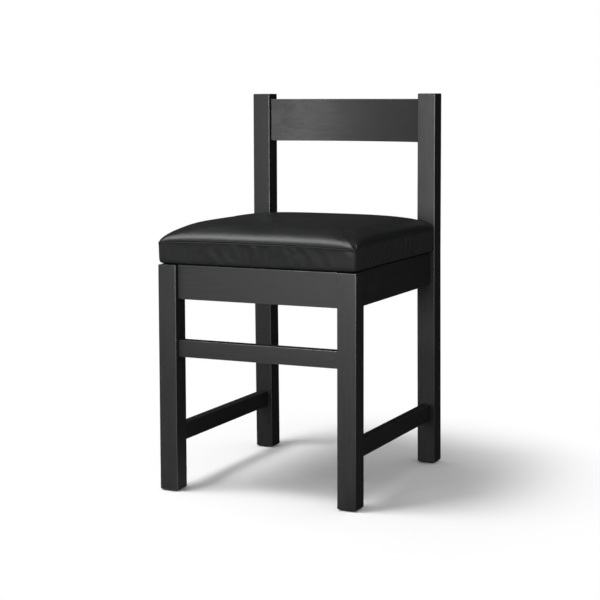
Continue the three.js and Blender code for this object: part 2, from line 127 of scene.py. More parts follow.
class ChairCushion(bpy.types.PropertyGroup):
    """Shape of the box cushion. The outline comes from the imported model."""

    corner: length("Corner radius", "Radius of the front corners in plan", 0.007)
    loft: length("Loft", "How much higher the filled crown stands than the packed model's", 0.0026)
    waist: length("Waist", "How far the foot of the boxing pulls in between the corners", 0.0022)
    post_gap: length("Gap at the posts", "Clearance between leather and rear posts", 0.0005)
    front_reach: length("Front slope", "Depth over which the crown climbs from the front edge", 0.1545)
    back_reach: length("Back slope", "Depth over which the crown climbs from the back edge", 0.1898)
    side_power: number("Side fullness", "How square the shoulder at the sides is", 3.5)
    depth_power: number("Front fullness", "How square the shoulder at front and back is", 2.62)
    side_seam: share("Side seam", "How much of the seam shows at the sides and the back", 0.12)
    tuck: length("Tuck", "How much the seam draws the front shoulder in", 0.0008)
    seam_bow: length("Seam bow", "How much higher the seam is in mid edge than at a corner", 0.0034)
    slack: share("Slack", "Share that the cut cover is larger than its shape", 0.004, 0.05)
    air: number("Pressure", "How hard the filling presses on the cover", 4.0, min=0.0)
    settle: length("Settling", "The most that a point of the cover may move", 0.0014)


class ChairScrews(bpy.types.PropertyGroup):
    """Wood screws and staples."""

    block_shank: length("Block screw", "Radius of a block screw", 0.0021)
    block_head: length("Block screw head", "Height of a block screw's head", 0.0026)
    seat_shank: length("Seat screw", "Radius of a seat screw", 0.0024)
    seat_head: length("Seat screw head", "Height of a seat screw's head", 0.003)
    pitch: length("Pitch", "Distance between two turns of the thread", 0.0019)
    depth: length("Thread depth", "Depth of the thread", 0.00055)
    slot: length("Slot", "Half the width of the cross recess's arms", 0.0006)
    staple: length("Staple", "Width of a staple's crown", 0.0115)
    wire: length("Staple wire", "Thickness of a staple's flat wire", 0.0006)
    spacing: length("Staple spacing", "Distance between two staples", 0.038)


class ChairStudio(bpy.types.PropertyGroup):
    """Studio: pale floor, a softbox overhead, and cards and black cloth that only the gloss mirrors."""

    floor_tone: colour("Floor", "Colour of the floor", (0.94, 0.94, 0.94))
    floor_radius: length("Floor radius", "Radius of the floor", 6.0)
    ambient: number("Ambient", "Strength of the light from all round", 0.55, min=0.0)
    key: watts("Key", "Power of the card in front", 99.0)
    shine: watts("Shine", "Power of the card overhead", 66.0)
    side: watts("Side", "Power of the card at the right", 44.0)
    left: watts("Left", "Power of the card at the left", 18.0)
    top: watts("Top", "Power of the overhead softbox", 40.0)
    sweep_tone: colour("Sweep", "Colour of the black cloth", (0.006, 0.006, 0.006))


# Materials

# Largest coordinate of a face's normal, between a slanting arris and a square face
SLANT = (0.93, 0.945)
# Heights between which hands begin to rub the posts
GRIP = (0.5, 0.6)
# Heights above the boxing's foot between which the leather turns in; below them the leather gets painted shade
TURN_IN = (0.0026, 0.0042)
PLIES = 9


class Wire:
    """A node's output. Sums that are written with it add Math nodes."""

    def __init__(self, recipe, socket):
        self.recipe, self.socket = recipe, socket

    def maths(self, operation, *values):
        return self.recipe.node("ShaderNodeMath", {"operation": operation}, dict(enumerate(values)))

    def __add__(self, other):
        return self.maths("ADD", self, other)

    __radd__ = __add__

    def __sub__(self, other):
        return self.maths("SUBTRACT", self, other)

    def __rsub__(self, other):
        return self.maths("SUBTRACT", other, self)

    def __mul__(self, other):
        return self.maths("MULTIPLY", self, other)

    __rmul__ = __mul__

    def __truediv__(self, other):
        return self.maths("DIVIDE", self, other)


class Recipe:
    """A node tree that is written as expressions."""

    def __init__(self, owner):
        owner.use_nodes = True
        self.owner, self.tree = owner, owner.node_tree
        self.tree.nodes.clear()

    def node(self, kind, settings=None, values=None, output=0):
        """Adds a node: its settings first, then the values and wires of its sockets."""
        node = self.tree.nodes.new(kind)
        for name, setting in (settings or {}).items():
            setattr(node, name, setting)
        for name, value in (values or {}).items():
            if isinstance(value, Wire):
                self.tree.links.new(value.socket, node.inputs[name])
            else:
                node.inputs[name].default_value = value
        return Wire(self, node.outputs[output]) if node.outputs else None

    def vector(self, operation, *values, output=0):
        values = dict(enumerate(values))
        return self.node("ShaderNodeVectorMath", {"operation": operation}, values, output)

    def part(self, where, axis):
        """One coordinate of a place or a direction."""
        return self.node("ShaderNodeSeparateXYZ", values={0: where}, output=axis)

    def place(self, stretch=(1.0, 1.0, 1.0)):
        """Where a point is on the chair, in metres, each axis times its stretch."""
        return self.vector("MULTIPLY", self.node("ShaderNodeTexCoord", output="Object"), stretch)

    def noise(self, where, size, detail=2.0, rough=0.5):
        values = {"Vector": where, "Scale": 1.0 / size, "Detail": detail, "Roughness": rough}
        return self.node("ShaderNodeTexNoise", values=values)

    def cells(self, where, size, feature="F1", output="Distance"):
        values = {"Vector": where, "Scale": 1.0 / size}
        return self.node("ShaderNodeTexVoronoi", {"feature": feature}, values, output)

    def span(self, value, low, high):
        """0 below low, 1 above high, and smooth between."""
        values = {"Value": value, "From Min": low, "From Max": high}
        return self.node("ShaderNodeMapRange", {"interpolation_type": "SMOOTHSTEP"}, values)

    def tint(self, amount, first, second):
        first, second = (c if isinstance(c, Wire) else (*c, 1.0) for c in (first, second))
        return self.node("ShaderNodeMix", {"data_type": "RGBA"}, {0: amount, 6: first, 7: second}, 2)

    def bump(self, height, distance):
        return self.node("ShaderNodeBump", values={"Height": height, "Distance": distance, "Strength": 1.0})

    def arris(self):
        """1 on the arrises, whose faces slant, and 0 on the faces that lie square to the chair."""
        size = self.vector("ABSOLUTE", self.node("ShaderNodeNewGeometry", output="True Normal"))
        x, y, z = (self.part(size, axis) for axis in range(3))
        return 1.0 - self.span(x.maths("MAXIMUM", x.maths("MAXIMUM", x, y), z), *SLANT)

    def surface(self, tone, rough, normal=None, **more):
        values = {"Base Color": tone if isinstance(tone, Wire) else (*tone, 1.0), "Roughness": rough}
        values.update({name.replace("_", " "): value for name, value in more.items()})
        if normal:
            values["Normal"] = normal
        self.end(self.node("ShaderNodeBsdfPrincipled", values=values))
        return self.owner

    def end(self, shader, kind="ShaderNodeOutputMaterial"):
        self.node(kind, values={"Surface": shader})


def recipe(name):
    return Recipe(bpy.data.materials.new(name))


def black_lacquer(name, along, s):
    """Satin lacquer over wood whose grain runs along an axis."""
    r = recipe(name)
    stretch = [1.0, 1.0, 1.0]
    stretch[along] = s.pore_width / s.pore_length
    grain = r.place(stretch)
    plain = r.place()
    pores = r.span(r.noise(grain, s.pore_width, 2.0, 0.6), 0.56, 0.68)
    growth = r.noise(grain, 0.009, 3.0, 0.6)
    figure = r.span(r.noise(grain, 0.02, 2.0, 0.5), 0.42, 0.62)
    sunk = pores * figure
    streaks = r.span(r.noise(grain, s.streak, 2.0, 0.55), 0.3, 0.7)
    ripple = r.noise(plain, s.ripple, 1.0, 0.4)
    smears = r.span(r.noise(plain, 0.06, 3.0, 0.6), 0.4, 0.75)
    rubbed = r.arris() * r.span(r.noise(plain, 0.03, 4.0, 0.7), 1.0 - s.wear, 1.05 - 0.5 * s.wear)
    deep = [c * 0.7 for c in s.tone]
    tone = r.tint(0.5 * growth + 0.5 * streaks, deep, [c * 1.35 for c in s.tone])
    tone = r.tint(rubbed, r.tint(sunk, tone, [c * 0.5 for c in s.tone]), s.rubbed)
    rough = s.sheen - 0.02 + 0.05 * growth + 0.04 * smears + 0.05 * streaks + 0.10 * sunk - 0.13 * r.arris()
    height = 0.5 * growth + 0.55 * ripple - 1.0 * sunk
    coat = s.edge_gloss * r.arris() * (1.0 - s.handled * r.span(r.part(plain, 2), *GRIP))
    relief = r.bump(height, s.pore_depth)
    return r.surface(tone, rough, relief, Specular_IOR_Level=0.15, Coat_Weight=coat, Coat_Roughness=0.25)


def black_leather(name, s, tone, sheen, gloss):
    """Smooth upholstery leather: fine pebbles, hair creases, a sat-on bloom in the middle, and painted shade
    at the foot where it turns in under the seat.
    """
    r = recipe(name)
    plain = r.place()
    values = {"Vector": plain, "Scale": 1.0 / 0.006, "Detail": 1.0}
    drift = r.node("ShaderNodeTexNoise", values=values, output="Color")
    shift = r.vector("MULTIPLY_ADD", drift, (0.0016,) * 3, plain)
    pebbles = r.cells(shift, s.pebble)
    furrows = r.span(r.cells(shift, s.pebble * 1.6, "DISTANCE_TO_EDGE"), 0.0, 0.16)
    creases = r.span(r.cells(shift, s.crease, "DISTANCE_TO_EDGE"), 0.0, 0.035)
    faint = r.span(r.noise(plain, 0.035, 2.0, 0.5), 0.45, 0.7)
    cloud = r.noise(plain, 0.05, 4.0, 0.55)
    middle = r.vector("LENGTH", r.place((1.0, 0.9, 0.0)), output="Value")
    sat = (1.0 - r.span(middle, 0.05, 0.17)) * cloud
    # Painted shade in the gap under the cushion: the turned-in foot is tinted near black and made rough
    under = 1.0 - r.span(r.part(plain, 2), *(border_low.z + up for up in TURN_IN))
    tone = r.tint(cloud, [c * 0.82 for c in tone], [c * 1.15 for c in tone])
    tone = r.tint(under, r.tint(0.35 * sat, tone, s.worn), s.gap_shade)
    rough = sheen + 0.09 * cloud - 0.06 * sat + 0.05 * pebbles + 0.6 * under
    relief = 0.6 * furrows - 0.3 * pebbles + 0.8 * creases * faint
    return r.surface(tone, rough, r.bump(relief, s.pebble_depth), Specular_IOR_Level=gloss)


def beech(name):
    """Planed beech: pale rays and fleck along the grain."""
    r = recipe(name)
    grain = r.place((1.0, 1.0, 0.07))
    fleck = r.span(r.noise(r.place((1.0, 1.0, 0.25)), 0.0012, 2.0, 0.6), 0.55, 0.7)
    rings = r.noise(grain, 0.004, 4.0, 0.6)
    tone = r.tint(rings, (0.50, 0.30, 0.155), (0.66, 0.44, 0.25))
    tone = r.tint(0.5 * fleck, tone, (0.36, 0.19, 0.09))
    return r.surface(tone, 0.62 + 0.12 * rings, r.bump(rings - fleck, 0.00008))


def birch_ply(name):
    """Birch plywood: face grain on top and thin cross plies on the edge."""
    r = recipe(name)
    grain = r.place((0.06, 1.0, 1.0))
    rings = r.noise(grain, 0.007, 5.0, 0.6)
    step = (r.part(r.place(), 2) - board_low.z) / ((board_high.z - board_low.z) / PLIES)
    ply = r.span(step.maths("PINGPONG", step, 1.0), 0.35, 0.65)
    up = r.part(r.node("ShaderNodeNewGeometry", output="True Normal"), 2)
    edge = 1.0 - up.maths("ABSOLUTE", up)
    tone = r.tint(rings, (0.58, 0.40, 0.22), (0.72, 0.55, 0.34))
    tone = r.tint(edge * ply, tone, (0.30, 0.17, 0.08))
    return r.surface(tone, 0.66 + 0.1 * rings, r.bump(rings + 0.6 * edge * ply, 0.0001))


def zinc_steel(name):
    """Bright zinc plate with the dull bloom of a bought wood screw."""
    r = recipe(name)
    bloom = r.noise(r.place(), 0.003, 4.0, 0.6)
    tone = r.tint(bloom, (0.46, 0.47, 0.48), (0.68, 0.69, 0.68))
    return r.surface(tone, 0.26 + 0.2 * bloom, r.bump(bloom, 0.00002), Metallic=1.0)


def black_nylon(name):
    """Moulded nylon, scuffed where it stands on the floor."""
    r = recipe(name)
    scuff = r.span(r.noise(r.place((1.0, 0.15, 1.0)), 0.0009, 3.0, 0.7), 0.5, 0.7)
    low = 1.0 - r.span(r.part(r.place(), 2), 0.0002, 0.0012)
    tone = r.tint(scuff * low, (0.012, 0.012, 0.012), (0.07, 0.07, 0.068))
    return r.surface(tone, 0.45 + 0.25 * scuff, r.bump(r.noise(r.place(), 0.0006, 2.0), 0.00003))


def black_cambric(name):
    """Thin non-woven black cloth: pressed fibres and a grid of bonding dots."""
    r = recipe(name)
    plain = r.place()
    fibres = r.noise(plain, 0.0016, 6.0, 0.75)
    dots = 1.0 - r.span(r.cells(plain, 0.0022), 0.2, 0.45)
    tone = r.tint(fibres, (0.006, 0.006, 0.0065), (0.024, 0.024, 0.025))
    return r.surface(tone, 0.85 + 0.1 * fibres, r.bump(fibres - 0.6 * dots, 0.00015))


def cream_foam(name):
    """Cut polyurethane foam with open cells, with painted shade in the cells."""
    r = recipe(name)
    plain = r.place()
    holes = r.cells(plain, 0.0013)
    patch = r.noise(plain, 0.03, 3.0)
    tone = r.tint(patch, (0.74, 0.66, 0.44), (0.82, 0.76, 0.56))
    # Painted shade: the open cells are tinted darker where shade falls in them
    tone = r.tint(1.0 - r.span(holes, 0.1, 0.5), tone, (0.60, 0.52, 0.33))
    return r.surface(tone, 0.93 + 0.04 * patch, r.bump(holes, 0.0005))


# Meshes


def make_mesh(name, points, faces, material):
    mesh = bpy.data.meshes.new(name)
    points = [tuple(float(c) for c in p) for p in points]
    mesh.from_pydata(points, [], [tuple(int(i) for i in f) for f in faces])
    mesh.validate()
    mesh.shade_smooth()
    mesh.materials.append(material)
    return mesh


def place_piece(name, mesh, replaces=(), place=None):
    """A new piece of the chair, which rides on its one body."""
    piece = bpy.data.objects.new(name, mesh)
    bpy.context.scene.collection.objects.link(piece)
    if place:
        piece.matrix_world = place
    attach(piece, "root")
    if replaces:
        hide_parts(*replaces)
    return piece


def make_piece(name, points, faces, material, replaces=()):
    return place_piece(name, make_mesh(name, points, faces, material), replaces)


def share_of(value):
    return np.clip(value, 0, 1)


def bell(value, wide):
    return np.exp(-((value / wide) ** 2))


def places(x, y, z):
    return np.stack([x, y, np.broadcast_to(z, np.shape(x))], -1)


def band(lower, upper):
    """Faces between two closed rows of vertex numbers, seen from outside."""
    return np.stack([lower, np.roll(lower, -1), np.roll(upper, -1), upper], -1)


def skin(rows):
    """Faces that join each closed row of vertex numbers to the next."""
    return [face for a, b in zip(rows, rows[1:]) for face in band(a, b)]


def closed(rows):
    """A skin with a face over its first row and one over its last."""
    return skin(rows) + [rows[0][::-1], rows[-1]]


def quads(wide, deep):
    """Faces of a grid of points that are numbered along its depth first."""
    i, j = np.meshgrid(np.arange(wide), np.arange(deep), indexing="ij")
    a = (i * (deep + 1) + j).ravel()
    return np.stack([a, a + deep + 1, a + deep + 2, a + 1], -1)


def circle(sides, radius, z):
    turns = np.arange(sides) * 2 * math.pi / sides
    return places(radius * np.cos(turns), radius * np.sin(turns), z)


def lathe(outline, sides):
    """Points and faces of a turned piece about z from (radius, height) pairs, closed at both ends."""
    points = np.concatenate([circle(sides, radius, z) for radius, z in outline])
    return points, closed(np.arange(len(points)).reshape(-1, sides))


# Cushion

# How far the panel's outermost loop lies inside the outline
RIM = 0.0007
# Loops of the panel from the seam inwards, and of the boxing from the seam down
SKIRT = np.array([0, 0.004, 0.03, 0.12, 0.35, 0.8, 1.6, 2.9, 4.8, 7.6, 11.5, 17.0, 24.3]) / 1000
DEPTHS = np.array([0, 2, 4, 8, 12, 16, 20, 24, 28, 32, 36, 39, 40.6, 42, 43, 43.8, 44.4, 45]) / 1000
# Profiles of the boxing in millimetres, as (below the seam, inside the outline): the foot that every side
# has, the wall under a seam that stands proud, and the wall under a seam that hardly shows
FOOT = ((39, 1.6), (40.6, 2.0), (42, 2.8), (43, 3.8), (43.8, 5.4), (44.4, 8.5), (45, 16))
WALL = ((0, 1.0), (2, 0), (4, 0.4), (8, 0.8), (24, 1.0), (36, 1.3), *FOOT)
PLAIN_WALL = ((0, 0.7), (4, 0.5), (12, 0.7), (24, 0.9), (36, 1.3), *FOOT)
# Loops of the turned-in flange, by how far inside the outline they lie
FLANGE = (0.0175, 0.023, 0.0375)
# Lengths from the stitches at which panel and boxing get their points, and where the next ones begin
STITCHED = np.array([0, 0.25, 0.55, 0.95, 1.5, 2.2, 3.1, 4.2, 5.6]) / 1000
UNSTITCHED = 0.0074
# Loops up to which the points go on, each with its number of cells
PANEL_STOPS, BOXING_STOPS = ((-1, 10),), ((10, 8), (17, 14), (-1, 4))
# Cells of the panel's grid between its marks, all of them, and the grid lines of the notches for the posts
CELLS_X, CELLS_Y = (4, 5, 28, 28, 5, 4), (4, 68, 6)
WIDE, DEEP = sum(CELLS_X), sum(CELLS_Y)
NOTCH_X, NOTCH_Y = sum(CELLS_X[:2]), sum(CELLS_Y[:2])
# How much an inset opens a front corner's radius, and how far the tips at the posts are blunted
OPENING, BLUNT = 0.3, 0.0009
# Half-width and depth of the seam's groove; place, half-width and height of the roll beside it
GROOVE_WIDE, GROOVE_DEEP = 0.001, 0.0024
ROLL_AT, ROLL_WIDE, ROLL_HIGH = 0.0019, 0.0009, 0.0004
# Spacing, height and reach of the puckers
PUCKER_SIZE, PUCKER_HIGH, PUCKER_REACH = 0.013, 0.00016, 0.006
# How far inside the outline the foam stays, and its clearance from the board
FOAM_INSIDE, FOAM_CLEAR = 0.0045, 0.0004
# Frames of the cloth simulation, and how far inside its shape the cover starts
FRAMES, SHRUNK = 20, 0.0007


class CushionForm:
    """The cushion's outline and crown, for a skin that lies some way inside the leather."""

    def __init__(self, s, inside=0.0):
        self.s, self.inside = s, inside
        self.side = border_high.x - inside
        self.front, self.back = border_low.y + inside, border_high.y - inside
        self.notch, self.shoulder = post_low.x - s.post_gap - inside, post_low.y - s.post_gap - inside
        self.bottom = border_low.z + inside
        self.seam = (border_high.z + panel_low.z) / 2
        self.crown = panel_high.z + s.loft - self.seam - inside

    def seam_shows(self, x, y):
        """1 where the stitched groove shows, along the front between its corners, and faint elsewhere."""
        ahead = share_of((self.front + 0.004 - y) / 0.003)
        clear = share_of((self.side - np.abs(x) - 0.006) / 0.013)
        return self.s.side_seam + (1 - self.s.side_seam) * ahead * clear * clear * (3 - 2 * clear)

    def lip_shows(self, y):
        """1 where the panel's edge stands proud of the boxing, at the front, fading along the sides."""
        left = share_of(1 - (y - self.front - 0.004) / 0.05)
        return self.s.side_seam + (1 - self.s.side_seam) * left**2

    def lines(self, inset):
        """The grid's lines in x and y where the outline is drawn in by inset."""
        corner = self.s.corner + OPENING * inset
        side, notch = self.side - inset, self.notch - inset
        marks_x = (-side, corner - side, -notch, 0.0, notch, side - corner, side)
        front, back = self.front + inset, self.back - inset
        marks_y = (front, front + corner, self.shoulder - inset, back)
        spaced = []
        for marks, cells in ((marks_x, CELLS_X), (marks_y, CELLS_Y)):
            parts = [np.linspace(a, b, n, endpoint=False) for a, b, n in zip(marks, marks[1:], cells)]
            spaced.append(np.append(np.concatenate(parts), marks[-1]))
        return spaced

    def spots(self, inset, i, j):
        """Places in plan of grid nodes (i, j), with the front corners rounded."""
        xs, ys = self.lines(inset)
        x, y = xs[i].copy(), ys[j].copy()
        corner = self.s.corner + OPENING * inset
        a = (np.abs(x) - (self.side - inset - corner)) / corner
        b = (self.front + inset + corner - y) / corner
        near = (a > 0) & (b > 0)
        a, b = share_of(a), share_of(b)
        bent_x = self.side - inset - corner + corner * a * np.sqrt(1 - b * b / 2)
        bent_y = self.front + inset + corner - corner * b * np.sqrt(1 - a * a / 2)
        x = np.where(near, np.sign(x) * bent_x, x)
        y = np.where(near, bent_y, y)
        last_x, last_y = len(xs) - 1, len(ys) - 1
        for ends, row in (((0, last_x), NOTCH_Y), ((NOTCH_X, last_x - NOTCH_X), last_y)):
            for end in ends:
                tip = (i == end) & (j == row)
                x[tip] -= np.sign(x[tip]) * BLUNT
                y[tip] -= BLUNT
        return x, y

    def rise(self, distance, reach, power, tuck=0.0):
        """Share of the crown's height at a distance from an edge, which a tuck makes it leave less steeply."""
        left = share_of(1 - (np.maximum(distance, 0) + tuck) / (reach + tuck))
        low = (1 - (1 - tuck / (reach + tuck)) ** power) ** (1 / power)
        return ((1 - left**power) ** (1 / power) - low) / (1 - low)

    def climb(self, x, y):
        """How far the crown stands above the seam over a place in plan."""
        s = self.s
        return (
            self.crown
            * self.rise(self.side - RIM - np.abs(x), self.side, s.side_power)
            * self.rise(y - self.front - RIM, s.front_reach, s.depth_power, s.tuck)
            * self.rise(self.back - RIM - y, s.back_reach, s.depth_power)
        )


def inset_at(wall, down):
    """How far inside the outline a wall's profile lies at a depth below the seam."""
    return float(np.interp(down * 1000, *np.array(wall).T)) / 1000


def cushion_rows(form):
    """Loops of the skin from the flange up to the panel's grid, the grid, and the loop's node numbers."""
    right = WIDE - NOTCH_X
    walk = [(i, 0) for i in range(WIDE)] + [(WIDE, j) for j in range(NOTCH_Y)]
    walk += [(i, NOTCH_Y) for i in range(WIDE, right, -1)] + [(right, j) for j in range(NOTCH_Y, DEEP)]
    walk += [(i, DEEP) for i in range(right, NOTCH_X, -1)] + [(NOTCH_X, j) for j in range(DEEP, NOTCH_Y, -1)]
    walk += [(i, NOTCH_Y) for i in range(NOTCH_X, 0, -1)] + [(0, j) for j in range(NOTCH_Y, 0, -1)]
    i, j = np.array(walk).T
    x, y = form.spots(RIM, i, j)
    at_post = (j >= NOTCH_Y) & (j < DEEP) & (i > 0) & (i < WIDE)
    climb = form.climb(x, y)
    across, along = np.abs(x) / form.side, (y - form.front) / (form.back - form.front) * 2 - 1
    bow = np.where(at_post, 0.0, form.s.seam_bow * (0.5 - (across * np.abs(along)) ** 3))
    sill = np.where(at_post, climb, bow)
    lip = form.lip_shows(y)
    rows = []
    for inset in reversed(FLANGE):
        px, py = form.spots(inset, i, j)
        rows.append(places(px, py, form.bottom))
    tall = form.seam + sill - form.bottom
    for down in DEPTHS[::-1]:
        proud, plain = (form.spots(inset_at(wall, down), i, j) for wall in (WALL, PLAIN_WALL))
        px, py = (p + (b - p) * lip for b, p in zip(proud, plain))
        pull = form.s.waist * math.sin(min(down / 0.036, 1) * math.pi / 2)
        px = px - np.sign(px) * pull * np.where(across > 0.97, share_of(1 - along**2), 0)
        py = py - np.sign(along) * pull * np.where(np.abs(along) > 0.97, share_of(1 - across**2), 0)
        rows.append(places(px, py, form.seam + sill - down * tall / DEPTHS[-1]))
    for inset in SKIRT[1:-1]:
        px, py = form.spots(RIM + inset, i, j)
        fade = share_of(1 - inset / 0.014) ** 2
        z = form.seam + form.climb(px, py) + fade * (bow - np.where(at_post, 0.0, climb))
        rows.append(places(px, py, z))
    gi, gj = (k.ravel() for k in np.meshgrid(np.arange(WIDE + 1), np.arange(DEEP + 1), indexing="ij"))
    gx, gy = form.spots(RIM + SKIRT[-1], gi, gj)
    grid = places(gx, gy, form.seam + form.climb(gx, gy))
    kept = ~((gj > NOTCH_Y) & ((gi < NOTCH_X) | (gi > right)))
    return np.array(rows), grid, kept, i * (DEEP + 1) + j


def grid_faces(kept):
    """Faces of the panel's grid, leaving out the two notches."""
    faces = quads(WIDE, DEEP)
    return faces[kept[faces].all(1)]


def press_out(points, faces, held, s):
    """Lets the filling press the cover out as cloth, and gives back where each point goes."""
    mesh = bpy.data.meshes.new("cover_trial")
    mesh.from_pydata(points.tolist(), [], faces)
    trial = bpy.data.objects.new("cover_trial", mesh)
    scene = bpy.context.scene
    scene.collection.objects.link(trial)
    pins = trial.vertex_groups.new(name="held")
    for amount in np.unique(held):
        if amount > 0:
            pins.add(np.flatnonzero(held == amount).tolist(), float(amount), "REPLACE")
    cloth = trial.modifiers.new("Cover", "CLOTH")
    c = cloth.settings
    c.quality, c.mass, c.air_damping = 7, 0.25, 2.0
    c.tension_stiffness = c.compression_stiffness = 30.0
    c.shear_stiffness, c.bending_stiffness = 12.0, 1.2
    c.use_pressure, c.uniform_pressure_force = True, s.air
    c.shrink_min = c.shrink_max = -s.slack
    c.effector_weights.gravity = 0.0
    c.vertex_group_mass = "held"
    cloth.point_cache.frame_start, cloth.point_cache.frame_end = 1, FRAMES
    for time in range(1, FRAMES + 1):
        scene.frame_set(time)
    seen = trial.evaluated_get(bpy.context.evaluated_depsgraph_get())
    moved = np.array([v.co for v in seen.data.vertices])
    scene.frame_set(1)
    bpy.data.objects.remove(trial)
    bpy.data.meshes.remove(mesh)
    return moved


def vertex_normals(points, faces):
    normals = np.zeros_like(points)
    quads = np.array(faces)
    a, b, c, d = (points[quads[:, k]] for k in range(4))
    across = np.cross(c - a, d - b)
    for k in range(4):
        np.add.at(normals, quads[:, k], across)
    return normals / np.maximum(np.linalg.norm(normals, axis=1, keepdims=True), 1e-12)


def along_curve(points, wanted):
    """Points at the wanted lengths along a smooth curve through points."""
    steps = np.maximum(np.linalg.norm(np.diff(points, axis=0), axis=1), 1e-9)
    at = np.append(0, np.cumsum(steps))
    slope = np.diff(points, axis=0) / steps[:, None]
    before, after = steps[:-1, None], steps[1:, None]
    inner = (slope[1:] * before + slope[:-1] * after) / (after + before)
    tangent = np.vstack([slope[:1], inner, slope[-1:]])
    wanted = np.clip(wanted, 0, at[-1])
    k = np.clip(np.searchsorted(at, wanted, "right") - 1, 0, len(steps) - 1)
    t = ((wanted - at[k]) / steps[k])[:, None]
    h = steps[k][:, None]
    p, q = points[k], points[k + 1]
    return (
        (2 * t**3 - 3 * t**2 + 1) * p
        + (t**3 - 2 * t**2 + t) * h * tangent[k]
        + (3 * t**2 - 2 * t**3) * q
        + (t**3 - t**2) * h * tangent[k + 1]
    )


def wave(at, size, seed):
    """Smooth repeatable unevenness along a line, from -1 to 1."""
    rng = np.random.default_rng(seed)
    total = np.zeros_like(at)
    for k in range(6):
        turns = at * 2 * math.pi / (size * (0.6 + 0.25 * k))
        total += np.sin(turns + rng.uniform(0, 7)) * rng.uniform(0.5, 1)
    return total / 3


class CHAIR_OT_cover(bpy.types.Operator):
    """Leather cover of the seat: a crowned top panel and a boxing band that meet at a turned seam"""

    bl_idname = "chair.cover"
    bl_label = "Leather cover"

    def execute(self, context):
        s = context.scene.choir_chair_cushion
        form = CushionForm(s)
        rows, grid, kept, loop = cushion_rows(form)
        if not np.isfinite(rows).all() or not np.isfinite(grid).all():
            raise RuntimeError("the cushion's outline has points that can't be placed")
        count, ring = len(rows), len(loop)
        numbers = np.arange(count * ring).reshape(count, ring)
        seam_row = len(FLANGE) + len(DEPTHS) - 1
        start = np.concatenate([rows.reshape(-1, 3), grid])
        faces = skin([*numbers, loop + count * ring]) + list(grid_faces(kept) + count * ring)
        faces = [[int(k) for k in f] for f in faces]
        final = start.copy()
        # The flange is held fast, the boxing lightly and the seam half
        held = np.zeros(len(start))
        held[numbers[: len(FLANGE) + 2].ravel()] = 1.0
        held[numbers[len(FLANGE) + 2 : seam_row].ravel()] = 0.2
        held[numbers[seam_row]] = 0.5
        final = self.settled(start, faces, held, s)
        rows = final[: count * ring].reshape(count, ring, 3)
        grid = final[count * ring :]
        normal = vertex_normals(final, faces)[: count * ring].reshape(count, ring, 3)
        self.sew(rows, grid, kept, loop, normal, seam_row, form, context.scene.choir_chair_leather)
        return {"FINISHED"}

    def settled(self, start, faces, held, s):
        """The cover's points after the simulation, none of them further off than the settings allow."""
        out = vertex_normals(start, faces)
        tight = start - out * (SHRUNK * (1 - held))[:, None]
        used = np.unique(np.array(faces))
        renumber = np.full(len(start), -1)
        renumber[used] = np.arange(len(used))
        moved = press_out(tight[used], [[int(renumber[k]) for k in f] for f in faces], held[used], s)
        shift = np.zeros_like(start)
        shift[used] = moved - start[used]
        far = np.linalg.norm(shift, axis=1, keepdims=True)
        return start + shift * np.minimum(1, s.settle / np.maximum(far, 1e-9))

    def sew(self, rows, grid, kept, loop, normal, seam_row, form, s):
        """Gives panel and boxing their own edges, and the seam its groove, gathers and corner folds."""
        ring = len(loop)
        wall = rows[: seam_row + 1][::-1]
        skirt = np.concatenate([rows[seam_row:], grid[loop][None]])
        flat = normal[seam_row] * (1, 1, 0)
        flat /= np.linalg.norm(flat, axis=1, keepdims=True)
        step = np.linalg.norm(np.roll(wall[0], -1, 0) - wall[0], axis=1)
        around = np.append(0, np.cumsum(step)[:-1])
        shows = form.seam_shows(*wall[0, :, :2].T)
        gather = wave(around, PUCKER_SIZE, 4)
        ends = {}
        for side, lines, stops in (("panel", skirt, PANEL_STOPS), ("boxing", wall, BOXING_STOPS)):
            made = [along_curve(lines[:, c], self.stations(lines[:, c], stops)) for c in range(ring)]
            ends[side] = np.array(made).transpose(1, 0, 2)
        for side, made in ends.items():
            down = np.append(STITCHED, np.full(len(made) - len(STITCHED), 1.0))
            groove = bell(down, GROOVE_WIDE)
            roll = bell(down - ROLL_AT, ROLL_WIDE) * (1 if side == "boxing" else 0.2)
            made += flat[None] * (((ROLL_HIGH * roll - GROOVE_DEEP * groove)[:, None]) * shows)[..., None]
            spread = np.linalg.norm(made - made[:1], axis=2)
            fading = np.exp(-spread / PUCKER_REACH) * (1 - groove[:, None])
            puckers = PUCKER_HIGH * gather * shows * fading
            made += flat[None] * puckers[..., None]
        self.fold_corners(ends["boxing"], flat, around)
        boxing, panel = ends["boxing"], ends["panel"]
        numbers = np.arange(len(boxing) * ring).reshape(-1, ring)
        faces = [f for a, b in zip(numbers[1:], numbers) for f in band(a, b)]
        # The boxing's lighter colour is painted light that stands in for the gloss it lacks
        finish = black_leather("boxing_leather", s, s.boxing, s.boxing_sheen, s.boxing_gloss)
        points = boxing.reshape(-1, 3)
        low = make_piece("cushion_boxing", points, faces, finish, ["cover_border"])
        numbers = np.arange((len(panel) - 1) * ring).reshape(-1, ring)
        used = np.flatnonzero(kept)
        place = np.full(len(grid), -1)
        place[used] = np.arange(len(used)) + numbers.size
        faces = skin([*numbers, place[loop]]) + list(place[grid_faces(kept)])
        points = np.concatenate([panel[:-1].reshape(-1, 3), grid[used]])
        finish = black_leather("panel_leather", s, s.tone, s.sheen, s.gloss)
        top = make_piece("cushion_top_panel", points, faces, finish, ["cover_top_panel"])
        for piece in (low, top):
            rounder = piece.modifiers.new("Rounder", "SUBSURF")
            rounder.levels = rounder.render_levels = 1

    def stations(self, line, stops):
        """Lengths along a line at which the leather gets its points, from the stitches to the line's end."""
        at = np.append(0, np.cumsum(np.linalg.norm(np.diff(line, axis=0), axis=1)))
        lengths, first = [STITCHED], UNSTITCHED
        for row, cells in stops:
            lengths.append(np.linspace(first, at[row], cells, endpoint=False))
            first = at[row]
        return np.concatenate([*lengths, at[-1:]])

